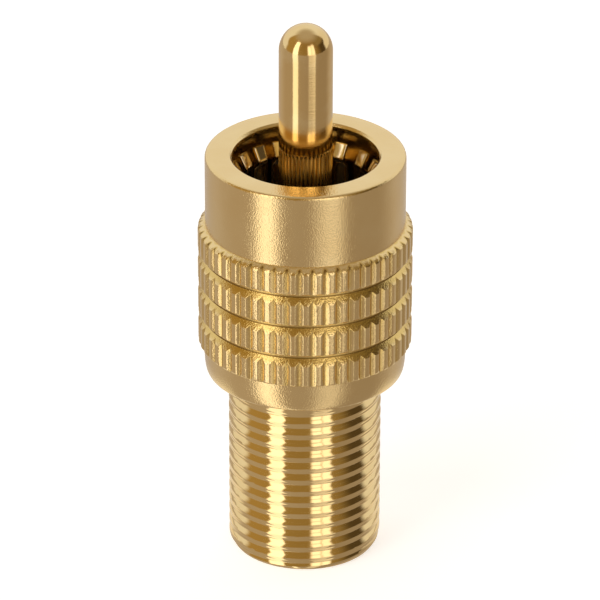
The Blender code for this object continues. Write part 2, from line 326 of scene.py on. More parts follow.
def new_group(name: str, inputs: dict[str, float], outputs: list[str]) -> tuple[Sheet, dict, object]:
    """Starts a shader node group.

    Args:
        name: the group's name.
        inputs: its number inputs, with their defaults.
        outputs: its outputs; one that ends in Colour carries a colour.

    Returns:
        A sheet on its tree, its input sockets by name, and its output node.
    """
    tree = bpy.data.node_groups.new(name, "ShaderNodeTree")
    for key, default in inputs.items():
        socket = tree.interface.new_socket(key, in_out="INPUT", socket_type="NodeSocketFloat")
        socket.default_value = default
    for key in outputs:
        kind = "NodeSocketColor" if key.endswith("Colour") else "NodeSocketFloat"
        tree.interface.new_socket(key, in_out="OUTPUT", socket_type=kind)
    sheet = Sheet(tree)
    source = sheet.add("NodeGroupInput")
    target = sheet.add("NodeGroupOutput")
    return sheet, {key: source.outputs[key] for key in inputs}, target


def plated_grain_group() -> bpy.types.NodeTree:
    """The orange-peel grain of plating: its height, and a roughness that varies with it.

    Returns:
        A group with inputs Size (m), Depth (m), Roughness and Spread.
    """
    inputs = {"Size": 0.08 * MM, "Depth": 0.001 * MM, "Roughness": 0.2, "Spread": 0.05}
    sheet, given, target = new_group("plated_grain", inputs, ["Height", "Roughness"])
    place = sheet.place()
    scale = sheet.maths("DIVIDE", 1.0, given["Size"])
    fine = sheet.noise(place, scale, 2.0)
    broad_scale, broad_share = 0.21, 0.12
    broad = sheet.noise(place, sheet.maths("MULTIPLY", scale, broad_scale), 3.0)
    grain = sheet.maths("MULTIPLY_ADD", broad, broad_share, fine)
    sheet.feed(target.inputs["Height"], sheet.maths("MULTIPLY", grain, given["Depth"]))
    swing = sheet.maths("SUBTRACT", broad, 0.5)
    varied = sheet.maths("MULTIPLY_ADD", swing, given["Spread"], given["Roughness"])
    sheet.feed(target.inputs["Roughness"], varied)
    return sheet.tree


def turning_lines_group() -> bpy.types.NodeTree:
    """The fine rings that a cutting tool leaves: a height that changes with radius and height.

    Round the axis it changes too, but so slowly that a ring stays a ring.

    Returns:
        A group with inputs Pitch (m) and Depth (m).
    """
    inputs = {"Pitch": 0.06 * MM, "Depth": 0.0005 * MM}
    sheet, given, target = new_group("turning_lines", inputs, ["Height"])
    parts = sheet.add("ShaderNodeSeparateXYZ", {0: sheet.place()}).outputs
    across = sheet.add("ShaderNodeCombineXYZ", {"X": parts["X"], "Y": parts["Y"]}).outputs[0]
    turn = sheet.maths("ABSOLUTE", sheet.maths("ARCTAN2", parts["Y"], parts["X"]))
    drift = sheet.maths("MULTIPLY", turn, 0.01 * MM)
    feeds = {"X": sheet.length(across), "Y": parts["Z"], "Z": drift}
    along = sheet.add("ShaderNodeCombineXYZ", feeds).outputs[0]
    lines = sheet.noise(along, sheet.maths("DIVIDE", 1.0, given["Pitch"]), 3.0)
    sheet.feed(target.inputs["Height"], sheet.maths("MULTIPLY", lines, given["Depth"]))
    return sheet.tree


def gold_tone_and_shade_group() -> bpy.types.NodeTree:
    """The drift of a plated gold's colour, from a paler to a deeper tone, and painted shade in hollows.

    Up to 0.5 the painted shade only deepens the gold, and from there to 1 it browns, where shade falls.

    Returns:
        A group with inputs Patch (m), Depth, the share of the deeper tone, Pale, and the hollow's painted
        shade.
    """
    inputs = {"Patch": 0.002, "Depth": 0.5, "Pale": 0.0, "Hollow": 0.0}
    sheet, given, target = new_group("gold_tone_and_shade", inputs, ["Colour"])
    cloud = sheet.noise(sheet.place(), sheet.maths("DIVIDE", 1.0, given["Patch"]), 3.0)
    share = sheet.maths("MULTIPLY", sheet.ramp(cloud, 0.3, 0.7), given["Depth"])
    clean = sheet.blend(given["Pale"], sheet.blend(share, GOLD_PALE, GOLD_DEEP), SPRING_PALE)
    # Painted shade: the hollow value deepens the gold and then browns it, where shade falls in valleys,
    # grooves, creases and the bore.
    deep = sheet.blend(sheet.ramp(given["Hollow"], 0.0, 0.5), clean, SHADE_GOLD)
    shade_browned = sheet.blend(sheet.ramp(given["Hollow"], 0.5, 1.0), deep, SHADE_BROWN)
    sheet.feed(target.inputs["Colour"], shade_browned)
    return sheet.tree


@dataclass(frozen=True)
class GoldFinish:
    """Gold plate over turned metal.

    The surface's own hollow value paints shade: one field says how far it deepens and browns the
    gold, and hollow_roughness and hollow_lines how far the roughness rises and the lines grow.
    """

    slot: str
    roughness: float
    roughness_spread: float = 0.05
    grain_size: float = 0.06 * MM
    grain_depth: float = 0.0006 * MM
    line_pitch: float = 0.05 * MM
    line_depth: float = 0.0005 * MM
    tone_depth: float = 0.4
    tone_patch: float = 2.0 * MM
    pale: float = 0.0
    painted_shade: float = 0.0
    hollow_roughness: float = 0.0
    hollow_lines: float = 0.0
    dulls_between: Span = (0.45, 0.7)

    def material(self, groups: dict[str, bpy.types.NodeTree]) -> bpy.types.Material:
        """Builds the material.

        Args:
            groups: the shared node groups by name.

        Returns:
            A metallic Principled material.
        """
        made = bpy.data.materials.new(self.slot)
        made.use_nodes = True
        sheet = Sheet(made.node_tree)
        # The hollow attribute carries painted shade into the colour, and real roughness and turning lines.
        hollow = sheet.add("ShaderNodeAttribute", attribute_name="hollow").outputs["Fac"]
        tone = sheet.group(
            groups["tone"],
            Patch=self.tone_patch,
            Depth=self.tone_depth,
            Pale=self.pale,
            Hollow=sheet.maths("MULTIPLY", hollow, self.painted_shade),
        )
        grain = sheet.group(
            groups["grain"],
            Size=self.grain_size,
            Depth=self.grain_depth,
            Roughness=self.roughness,
            Spread=self.roughness_spread,
        )
        lines = sheet.group(groups["lines"], Pitch=self.line_pitch, Depth=self.line_depth)
        dulled = sheet.maths("MULTIPLY", sheet.ramp(hollow, *self.dulls_between), self.hollow_roughness)
        growth = sheet.maths("MULTIPLY_ADD", hollow, self.hollow_lines, 1.0)
        height = sheet.maths("MULTIPLY_ADD", lines["Height"], growth, grain["Height"])
        sheet.surface(tone["Colour"], sheet.maths("ADD", grain["Roughness"], dulled), height, 1.0)
        return made


@dataclass(frozen=True)
class PlasticFinish:
    """Moulded or turned plastic with a faint mottle."""

    slot: str
    pale: Colour
    deep: Colour
    roughness: float
    roughness_spread: float = 0.15
    line_depth: float = 0.001 * MM
    mottle_scale: float = 900.0

    def material(self, groups: dict[str, bpy.types.NodeTree]) -> bpy.types.Material:
        """Builds the material.

        Args:
            groups: the shared node groups by name.

        Returns:
            A plastic Principled material.
        """
        made = bpy.data.materials.new(self.slot)
        made.use_nodes = True
        sheet = Sheet(made.node_tree)
        cloud = sheet.noise(sheet.place(), self.mottle_scale, 3.0)
        grain = sheet.group(groups["grain"], Roughness=self.roughness, Spread=self.roughness_spread)
        lines = sheet.group(groups["lines"], Depth=self.line_depth)
        colour = sheet.blend(sheet.ramp(cloud, 0.3, 0.7), self.pale, self.deep)
        height = sheet.maths("ADD", grain["Height"], lines["Height"])
        sheet.surface(colour, grain["Roughness"], height, 0.0)
        return made


SHELL_FINISH = GoldFinish(
    "shell_gold",
    0.11,
    roughness_spread=0.08,
    grain_size=0.09 * MM,
    grain_depth=0.0155 * MM,
    line_pitch=0.07 * MM,
    line_depth=0.0006 * MM,
    painted_shade=1.0,
    hollow_roughness=0.18,
    hollow_lines=10.0,
)
BARREL_FINISH = GoldFinish("barrel_gold", 0.085)
CROWN_FINISH = GoldFinish("crown_gold", 0.10, line_pitch=0.06 * MM, line_depth=0.0004 * MM, pale=0.55)
PIN_FINISH = GoldFinish(
    "pin_gold",
    0.10,
    grain_size=0.07 * MM,
    grain_depth=0.0010 * MM,
    line_pitch=0.06 * MM,
    line_depth=0.0020 * MM,
    tone_depth=1.5,
    painted_shade=1.0,
    hollow_roughness=0.20,
)
SOCKET_FINISH = GoldFinish("socket_gold", 0.16, line_depth=0.0006 * MM)
FRONT_PLASTIC = PlasticFinish("front_bush_plastic", (0.035, 0.034, 0.033), (0.018, 0.018, 0.018), 0.45)
REAR_PLASTIC = PlasticFinish("rear_bush_plastic", (0.80, 0.79, 0.74), (0.72, 0.71, 0.66), 0.42)


@dataclass
class Piece:
    """What every sub-assembly shares: the node it stands for and its finish."""

    node: str
    finish: GoldFinish | PlasticFinish

    def low(self) -> float:
        """The node's lowest height."""
        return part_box(self.node)[0].z

    def high(self) -> float:
        """The node's greatest height."""
        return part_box(self.node)[1].z

    def build(self) -> bpy.types.Object:
        """Builds the surface; each sub-assembly has its own."""
        raise NotImplementedError

    def dress(self, groups: dict[str, bpy.types.NodeTree]) -> bpy.types.Object:
        """Builds the surface, gives it its finish and puts it on the body.

        Args:
            groups: the shared node groups by name.

        Returns:
            The finished piece.
        """
        made = self.build()
        made.data.materials.append(self.finish.material(groups))
        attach(made, BODY)
        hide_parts(self.node)
        LOG.info("%s: %d faces", made.name, len(made.data.polygons))
        return made


@dataclass
class GripShell(Piece):
    """The outer shell: ring, four knurled bands between turned grooves, collar, mouth and bore.

    The mouth's edge has a chamfer that leads down to a plain lip, and the bore widens below it.
    """

    bore: float = 4.95 * MM
    ring_radius: float = 6.19 * MM
    ring_height: float = 1.88 * MM
    ring_round_drop: float = 0.17 * MM
    ring_round_height: float = 1.20 * MM
    knurl_radius: float = 6.555 * MM
    teeth: int = 52
    tooth_depth: float = 0.165 * MM
    tooth_land: float = 0.27 * MM
    valley_floor: float = 0.03 * MM
    knurl_edge: float = 0.10 * MM
    knurl_start: float = math.radians(-86.2)
    bands: int = 4
    band_pitch: float = 2.07 * MM
    top_band_height: float = 1.71 * MM
    groove_depth: float = 0.31 * MM
    groove_flat: float = 0.25 * MM
    groove_slope_height: float = 0.44 * MM
    shoulder_round: float = 0.46 * MM
    shoulder_slope: float = math.radians(30)
    collar_radius: float = 6.10 * MM
    collar_edge: float = 0.25 * MM
    mouth_radius: float = 4.61 * MM
    mouth_chamfer: float = 0.15 * MM
    lip_depth: float = 0.45 * MM
    corner: float = 0.02 * MM
    fillet: float = 0.03 * MM
    row_gaps: Span = (0.012 * MM, 0.035 * MM)
    depth_wander: float = 0.05
    place_wander: float = 0.008 * MM
    # Painted shade, as hollow values: how much the valleys, arch tips, shoulder crease and bore are
    # deepened and browned where shade falls.
    valley_shade: float = 0.45
    tip_shade: float = 0.7
    top_tip_shade: float = 0.95
    tip_reach: float = 0.10 * MM
    shoulder_shade: float = 0.5
    bore_shade: float = 0.6
    seed: int = 11

    def columns(self) -> tuple[np.ndarray, np.ndarray]:
        """The angle of each column, and the depth of the tooth valley there.

        A valley is a V with a narrow flat floor: its depth falls in a straight line from the
        floor to the edge of the land, with the corners a little round. Each valley's depth and
        place wander slightly, as a rolled knurl's do.

        Returns:
            Angles and depths, one for each column.
        """
        pitch = math.tau * self.knurl_radius / self.teeth
        reach = (pitch - self.tooth_land) / 2
        middle = (self.valley_floor + reach) / 2
        side = [self.valley_floor - 0.004 * MM, self.valley_floor + 0.012 * MM, middle]
        side = np.array(side + [reach - self.corner, reach, reach + self.corner])
        places = np.concatenate((-side[::-1], [0.0], side, [pitch / 2]))
        drift = np.random.default_rng(self.seed)
        depth_drift = 1.0 + self.depth_wander * drift.standard_normal(self.teeth)[:, None]
        place_drift = self.place_wander * drift.standard_normal(self.teeth)[:, None]
        slope = self.tooth_depth / (reach - self.valley_floor)
        from_floor = -soft_min(self.valley_floor - np.abs(places), np.zeros_like(places), 0.01 * MM)
        cut = self.tooth_depth * depth_drift - slope * from_floor[None, :]
        depth = -soft_min(-cut, np.zeros_like(cut), self.corner * 0.7)
        tooth = np.arange(self.teeth)[:, None] * pitch
        angle = self.knurl_start + (tooth + places[None, :] + place_drift) / self.knurl_radius
        return angle.ravel(), depth.ravel()

    def knurl_bottom(self) -> float:
        """The height of the lowest band's lower edge."""
        return self.low() + self.ring_height

    def shoulder_top(self) -> float:
        """The height at which the shoulder meets the collar."""
        return self.knurl_bottom() + (self.bands - 1) * self.band_pitch + self.top_band_height

    def band_rows(self, band: int, depth: np.ndarray) -> list[Row]:
        """The rows of one band, from its lower edge to the top of the groove or shoulder above it.

        A valley ends where the surface above the band is as deep as the valley. Above a lower
        band that surface is a cone. Above the top band it is the shoulder, a quarter of an
        ellipse cut by a cone that falls away from the collar. Rows run along that line, so it
        stays crisp. Under the band is a square step with a chamfered edge, and the radius is the
        lesser of the band's outline and the valley's.

        Args:
            band: the band's number, from the bottom.
            depth: the valley's depth in each column.

        Returns:
            (radius, height, hollow) for each row, as arrays over the columns; hollow is painted shade.
        """
        is_top = band == self.bands - 1
        low, top = self.knurl_bottom() + band * self.band_pitch, self.shoulder_top()
        close, near = self.row_gaps
        flat = np.zeros_like(depth)
        lower_end = low + np.maximum(self.knurl_edge - depth, 0.0)
        step = self.knurl_radius - self.collar_radius
        slope = math.tan(self.shoulder_slope)
        groove_low = low + self.band_pitch - self.groove_flat
        rise = self.groove_slope_height / self.groove_depth
        if is_top:
            fall = self.shoulder_round * (1.0 - np.sqrt(1.0 - (1.0 - depth / step) ** 2))
            upper_end = top - np.maximum(fall, (step - depth) * slope)
        else:
            upper_end = groove_low - (self.groove_depth - depth) * rise

        def outline(height: np.ndarray) -> np.ndarray:
            """The band's radius at a height, without its valleys."""
            chamfer = self.knurl_radius - self.knurl_edge + (height - low)
            radius = soft_min(chamfer, np.full_like(height, self.knurl_radius), self.corner)
            if is_top:
                share = np.clip((height - top) / self.shoulder_round + 1.0, 0.0, 1.0)
                bulge = np.minimum(step * np.sqrt(1.0 - share**2), (top - height) / slope)
                return np.minimum(radius, self.collar_radius + bulge)
            cone = self.knurl_radius - self.groove_depth + (groove_low - height) / rise
            return soft_min(radius, cone, self.corner * 0.5)

        heights = [low + flat, lower_end + close, lower_end + near]
        inner_low, inner_high = lower_end + near, upper_end - near
        heights += [inner_low + (inner_high - inner_low) * share for share in (0.25, 0.5, 0.75)]
        heights += [upper_end - near, upper_end - close, upper_end]
        if is_top:
            shares = (0.1, 0.25, 0.45, 0.7, 0.9)
            heights += [upper_end + (top + flat - upper_end) * ease(share) for share in shares]
        else:
            heights += [upper_end + close, upper_end + near, (upper_end + groove_low) / 2]
            heights += [groove_low - near + flat, groove_low - close + flat]
        valley = self.knurl_radius + self.corner / 2 - depth
        tip_shade = self.top_tip_shade if is_top else self.tip_shade
        rows = []
        for level in heights:
            edge = outline(level)
            radius = soft_min(edge, valley, self.corner * 0.6)
            # Painted shade: valleys darken with their depth, and darker still at their upper ends, the arch
            # tips, for the shade and dark reflections there.
            sunk = (edge if is_top else self.knurl_radius) - radius
            shade = self.valley_shade * np.clip(sunk / self.tooth_depth, 0.0, 1.0)
            tip = ease(1.4 - np.abs(upper_end - level) / self.tip_reach)
            tip = tip * np.clip(depth / self.tooth_depth, 0.0, 1.0)
            rows.append((radius, level, np.maximum(shade, tip_shade * tip)))
        # Painted shade along the crease where the shoulder meets the collar.
        if is_top:
            rows[-1] = (*rows[-1][:2], flat + self.shoulder_shade)
            return rows
        floor = self.knurl_radius - self.groove_depth + flat
        above = low + self.band_pitch + flat
        next_edge = self.knurl_radius - np.maximum(self.knurl_edge, depth)
        # Painted shade in the groove: a dark brown line where the cone meets the floor, and deepened gold
        # in the corner under the step above.
        groove = (
            (floor, groove_low + close + flat, 1.0),
            (floor, above - near, 0.2),
            (floor + 0.003 * MM, above - close, 0.8),
            (floor + close, above, 0.8),
            (next_edge - close, above, 0.3),
        )
        # Painted shade: the band's last row, on the cone at the floor, takes the darkest brown.
        rows[-1] = (*rows[-1][:2], flat + 1.0)
        return rows + [(radius, level, flat + shade) for radius, level, shade in groove]

    def build(self) -> bpy.types.Object:
        """The whole shell as one surface, from the bore's lower edge round to the bore again."""
        angle, depth = self.columns()
        low, high, top = self.low(), self.high(), self.shoulder_top()
        knurl_bottom, fillet = self.knurl_bottom(), self.fillet
        flat = np.zeros_like(angle)
        corner_radius = self.ring_radius - self.ring_round_drop
        lower = [(self.bore, low + fillet), (self.bore + fillet, low), (corner_radius - 0.10 * MM, low)]
        for turn in np.linspace(-math.pi / 2, 0.0, 8):
            rounded = low + self.ring_round_height * (1 + math.sin(turn))
            lower.append((corner_radius + self.ring_round_drop * math.cos(turn), rounded))
        lower.append((self.ring_radius, knurl_bottom - 0.02 * MM))
        lower.append((self.ring_radius + 0.02 * MM, knurl_bottom))
        rows = [(radius + flat, height + flat, flat) for radius, height in lower]
        for band in range(self.bands):
            rows += self.band_rows(band, depth)
        lip_radius = self.mouth_radius - self.mouth_chamfer
        upper = filleted(
            [
                (self.collar_radius + 0.03 * MM, top, 0.0),
                (self.collar_radius, top, 0.02 * MM),
                (self.collar_radius, high, self.collar_edge),
                (self.mouth_radius, high, fillet),
                (lip_radius, high - self.mouth_chamfer, fillet),
                (lip_radius, high - self.lip_depth, fillet),
                (self.bore, high - self.lip_depth, fillet),
                (self.bore, low + fillet, 0.0),
            ],
            6,
            False,
        )[1:-1]
        # Painted shade inside the bore, below the chamfer.
        for radius, height in upper:
            is_inside = height < high - self.mouth_chamfer and radius < self.bore + 0.1 * MM
            rows.append((radius + flat, height + flat, flat + self.bore_shade * is_inside))
        radius, height, hollow = (np.stack([row[part] for row in rows]) for part in range(3))
        return turned_object("shell_surface", radius, height, angle, Closure.TUBE, 40.0, hollow)


@dataclass
class ThreadedBarrel(Piece):
    """The threaded barrel with its end chamfer, plain land, press-in shank and bore."""

    radius: float = 4.71 * MM
    pitch: float = 25.4 / 32 * MM
    depth: float = 0.24 * MM
    crest: float = 0.32 * MM
    upper_flank: float = 0.345 * MM
    seam_width: float = 0.035 * MM
    seam_blend: float = 0.008 * MM
    seam_depth: float = 0.020 * MM
    burr: float = 0.006 * MM
    runout: float = 0.50 * MM
    start: float = math.radians(-52)
    land_height: float = 0.60 * MM
    exposed: float = 12.07 * MM
    chamfer_height: float = 0.42 * MM
    chamfer_drop: float = 0.24 * MM
    bore: float = 3.60 * MM
    shank_radius: float = 4.92 * MM
    shoulder: float = 0.03 * MM
    corner: float = 0.016 * MM
    edge_gap: float = 0.022 * MM
    flank_blend: float = 0.08
    sides: int = 180
    seed: int = 5

    def thread(self, along: np.ndarray) -> np.ndarray:
        """The thread's radius at distances up one pitch from the middle of a crest.

        A flat crest with the fine seam of a rolled thread, a long upper flank and a short
        lower one that meet in the root, and round corners.

        Args:
            along: distances, which repeat after one pitch.

        Returns:
            Radii of the same shape.
        """
        gap = self.pitch - self.crest
        above = (along + self.crest / 2) % self.pitch - self.crest
        cut = (gap - above) / (gap - self.upper_flank)
        cut = soft_min(above / self.upper_flank, cut, self.flank_blend)
        crest_inside = np.minimum(-above, self.crest + above) / self.upper_flank
        cut = np.where(above > 0.0, cut, -crest_inside) * self.depth
        cut = -soft_min(-cut, np.zeros_like(cut), self.corner)
        seam = np.clip(1.0 - soft_abs(above + self.crest / 2, self.seam_blend) / self.seam_width, 0.0, None)
        return self.radius - cut - self.seam_depth * seam

    def build(self) -> bpy.types.Object:
        """The barrel as one surface whose rows wind up with the thread."""
        low, high = self.low(), self.high()
        end = low + self.exposed - self.land_height
        near, edge = self.edge_gap, self.crest / 2
        root = edge + self.upper_flank
        seam = [-self.seam_width, -self.seam_blend, self.seam_blend, self.seam_width]
        flank = [(edge + root) / 2, root - near, root, root + near]
        offsets = [-edge, -edge + near, *seam, edge - near, edge, edge + near, *flank]
        offsets = np.array([*offsets, self.pitch - edge - near])
        is_edge = np.isin(np.arange(len(offsets)), (0, 1, 6, 7))
        turns = np.arange(-1, math.ceil((end - low) / self.pitch) + 1)
        stations = (turns[:, None] * self.pitch + offsets[None, :]).ravel()[:, None]
        column = np.arange(self.sides + 1)
        share = column / self.sides
        lead = self.pitch * share[None, :]
        draws = np.random.default_rng(self.seed)
        burrs = draws.standard_normal((len(offsets), (len(turns) + 1) * self.sides + 1))
        burrs = self.burr * np.abs(burrs) * is_edge[:, None]
        kind = np.tile(np.arange(len(offsets)), len(turns))[:, None]
        winding = np.repeat(np.arange(len(turns)), len(offsets))[:, None] * self.sides + column[None, :]
        height = np.clip(low + lead + stations, low, end)
        cut = self.radius - self.thread(height - low - lead) + burrs[kind, winding]
        threaded = self.radius - cut * ease((end - height) / self.runout)
        chamfer = self.radius - self.chamfer_drop * (1.0 - (height - low) / self.chamfer_height)
        radius = soft_min(threaded, chamfer, self.corner)
        plain = filleted(
            [
                (self.radius - 0.05 * MM, end, 0.0),
                (self.radius, low + self.exposed, 0.0),
                (self.shank_radius, low + self.exposed + self.shoulder, 0.0),
                (self.shank_radius, high, self.chamfer_drop),
                (self.bore, high, 0.05 * MM),
                (self.bore, low, 0.08 * MM),
                (self.radius - self.chamfer_drop - 0.06 * MM, low, 0.0),
            ],
            4,
            False,
        )[1:]
        wide = np.ones(self.sides + 1)
        radius = np.concatenate((radius, plain[:, :1] * wide))
        height = np.concatenate((height, plain[:, 1:] * wide))
        angle = self.start + math.tau * share
        points = around(radius, angle[None, :], height)
        faces = grid_faces(points.shape[0], points.shape[1], True)
        is_inside = faces % points.shape[1] < self.sides
        return mesh_object("barrel_surface", points.reshape(-1, 3), faces[is_inside[:, 0]])


@dataclass
class ContactCrown(Piece):
    """The slotted spring ring, with fingers that bulge inwards below their flared tips."""

    fingers: int = 20
    width: float = 0.70 * MM
    thickness: float = 0.28 * MM
    start: float = math.radians(147.7)
    tip_drop: float = 1.20 * MM
    tip_radius: float = 4.42 * MM
    contact_drop: float = 2.12 * MM
    contact_radius: float = 3.92 * MM
    base_height: float = 1.60 * MM
    round_off: float = 0.03 * MM
    tip_round: float = 0.05 * MM
    squareness: float = 0.45
    bends: dict[int, float] = field(default_factory=lambda: {15: 2.8, 14: -2.6, 13: -4.0})

    def finger(self, number: int, base_top: float, mouth: float) -> np.ndarray:
        """One finger: a rounded rectangle carried up a bent path.

        The path's radius is the shank's less a bulge, which rises in a straight line from the
        tip to the contact line and falls back below it, with both bends rounded. The section
        is a superellipse, which closes at the tip as a quarter round.

        Args:
            number: which finger.
            base_top: the height of the base ring's top.
            mouth: the height of the shell's face.

        Returns:
            The finger's points, as a grid.
        """
        tip, contact = mouth - self.tip_drop, mouth - self.contact_drop
        height = np.concatenate(
            (
                [base_top - 0.2 * MM],
                np.linspace(base_top, contact - 0.7 * MM, 4),
                np.linspace(contact - 0.6 * MM, contact + 0.4 * MM, 18),
                np.linspace(contact + 0.5 * MM, tip - 0.15 * MM, 5),
                tip - self.tip_round * (1.0 - np.sin(np.linspace(0.0, math.pi / 2, 7))),
            )
        )
        bulge = self.tip_radius - self.contact_radius
        rise = bulge * (tip - height) / (tip - contact)
        fall = bulge * (1.0 - (contact - height) / (0.55 * (tip - contact)))
        inward = -soft_min(-soft_min(rise, fall, 0.10 * MM), np.zeros_like(rise), 0.05 * MM)
        middle = self.tip_radius + self.thickness / 2 - inward
        closing = np.sqrt(np.clip(1.0 - ((height - tip) / self.tip_round + 1.0).clip(0.0) ** 2, 0.0, 1.0))
        shrink = self.round_off * (1.0 - closing)
        turn = np.linspace(0.0, math.tau, 20, endpoint=False)
        waves = (np.cos(turn), np.sin(turn))
        across, through = (np.sign(wave) * np.abs(wave) ** self.squareness for wave in waves)
        half_width = (np.maximum(self.width / 2 - shrink, 0.0) * (closing > 0))[:, None]
        half_thick = (self.thickness / 2 * (0.3 + 0.7 * closing) * (closing > 0))[:, None]
        slope = np.gradient(middle, height)[:, None]
        normal = 1.0 / np.sqrt(1.0 + slope**2)
        radius = middle[:, None] + through[None, :] * half_thick * normal
        level = height[:, None] - through[None, :] * half_thick * slope * normal
        level = np.minimum(level, tip)
        angle = self.start + math.tau * number / self.fingers + math.radians(self.bends.get(number, 0.0))
        spread = across[None, :] * half_width / self.contact_radius
        return around(radius, angle + spread, level)

    def build(self) -> bpy.types.Object:
        """The base ring and its fingers in one mesh."""
        low = self.low()
        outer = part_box(self.node)[1].x
        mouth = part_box("grip_shell")[1].z
        base_top = low + self.base_height
        ring = filleted(
            [
                (self.tip_radius, low, 0.05 * MM),
                (outer, low, 0.05 * MM),
                (outer, base_top, 0.08 * MM),
                (self.tip_radius, base_top, 0.05 * MM),
            ],
            3,
            True,
        )
        angle = np.linspace(0.0, math.tau, 120, endpoint=False)
        grids = [(around(ring[:, :1], angle[None, :], ring[:, 1:]), True)]
        grids += [(self.finger(number, base_top, mouth), False) for number in range(self.fingers)]
        return joined_object("crown_surface", grids)


@dataclass
class CenterPin(Piece):
    """The domed pin, with fine straight teeth at its base, a flange and a tail.

    Just above the teeth, and more so between them, it takes painted shade from the dark mouth, and its
    plating is rougher there.
    """

    radius: float = 1.63 * MM
    teeth: int = 40
    tooth_depth: float = 0.10 * MM
    knurl_rise: float = 0.62 * MM
    knurl_start: float = 0.36 * MM
    mouth_shade_height: float = 1.1 * MM
    mouth_shade: float = 0.51
    groove_shade: float = 0.24
    flange_radius: float = 2.30 * MM
    flange_height: float = 0.90 * MM
    tail_radius: float = 0.70 * MM
    tail_length: float = 3.00 * MM
    per_tooth: int = 8

    def build(self) -> bpy.types.Object:
        """The pin as one surface from the tail's end to the top of the dome."""
        low, high = self.low(), self.high()
        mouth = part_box("grip_shell")[1].z
        seat = low + self.tail_length
        knurl_top = mouth + self.knurl_rise
        knurl_bottom = seat + self.flange_height + 1.0 * MM
        share = np.arange(self.teeth * self.per_tooth) / self.per_tooth
        angle = math.tau * share / self.teeth
        from_valley = np.abs((share + 0.5) % 1.0 - 0.5) * 2.0
        groove = self.tooth_depth * np.clip(1.0 - soft_abs(from_valley, 0.12), 0.0, None)
        lower = filleted(
            [
                (0.0, low, 0.0),
                (self.tail_radius, low, 0.10 * MM),
                (self.tail_radius, seat, 0.04 * MM),
                (self.flange_radius, seat, 0.08 * MM),
                (self.flange_radius, seat + self.flange_height, 0.08 * MM),
                (self.radius - self.tooth_depth, seat + self.flange_height, 0.04 * MM),
                (self.radius - self.tooth_depth, knurl_bottom, 0.0),
            ],
            3,
            False,
        )
        middle = np.concatenate(
            (
                knurl_bottom + np.linspace(0.0, 0.2, 4) * MM,
                np.linspace(knurl_bottom + 0.4 * MM, knurl_top - 0.5 * MM, 24),
                knurl_top - np.linspace(0.42, 0.0, 15) * MM,
            )
        )
        plain_body = np.linspace(knurl_top + 1.5 * MM, high - self.radius, 8)
        body = np.concatenate((knurl_top + np.linspace(0.1, 1.1, 6) * MM, plain_body))
        sweep = np.linspace(0.0, math.pi / 2, 25)
        flat = np.zeros_like(angle)
        rows = [(point[0] + flat, point[1] + flat, flat) for point in lower]
        # Painted shade on the teeth, deeper between them.
        for height in middle:
            fade = ease((height - knurl_bottom) / (0.2 * MM))
            cut = ease((knurl_top - height) / self.knurl_start)
            plain = self.radius - self.tooth_depth * (1.0 - fade)
            shade = fade * (self.mouth_shade + self.groove_shade * cut * groove / self.tooth_depth)
            rows.append((plain - groove * cut * fade, height + flat, shade))
        # Painted shade above the teeth, darkest at the mouth and fading upwards.
        mouth_shaded = self.mouth_shade * np.clip(1.0 - (body - knurl_top) / self.mouth_shade_height, 0.0, 1.0)
        rows += [(self.radius + flat, height + flat, flat + shade) for height, shade in zip(body, mouth_shaded)]
        for turn in sweep[1:]:
            reach, drop = self.radius * math.cos(turn), self.radius * (1.0 - math.sin(turn))
            rows.append((reach + flat, high - drop + flat, flat))
        radius, height, hollow = (np.stack([row[part] for row in rows]) for part in range(3))
        return turned_object("pin_surface", radius, height, angle, Closure.POLES, hollow=hollow)


@dataclass
class Bush(Piece):
    """A turned insulator: a ring whose bore has one step."""

    name: str
    outer: float
    small_bore: float
    large_bore: float
    step_height: float
    small_end_is_low: bool
    countersink: float = 0.10 * MM
    rim: float = 0.05 * MM
    sides: int = 128

    def build(self) -> bpy.types.Object:
        """The bush as one surface, with small fillets and a countersunk small bore."""
        low, high = self.low(), self.high()
        if self.small_end_is_low:
            low_bore, high_bore = self.small_bore, self.large_bore
        else:
            low_bore, high_bore = self.large_bore, self.small_bore
        low_cut, high_cut = self.rim, self.rim
        if self.small_end_is_low:
            low_cut = self.countersink
        else:
            high_cut = self.countersink
        step = low + self.step_height
        profile = filleted(
            [
                (low_bore, low, low_cut),
                (self.outer, low, 0.10 * MM),
                (self.outer, high, 0.10 * MM),
                (high_bore, high, high_cut),
                (high_bore, step, 0.02 * MM),
                (low_bore, step, 0.02 * MM),
            ],
            4,
            True,
        )
        angle = np.linspace(0.0, math.tau, self.sides, endpoint=False)
        return turned_object(self.name, profile[:, :1], profile[:, 1:], angle, Closure.TUBE)


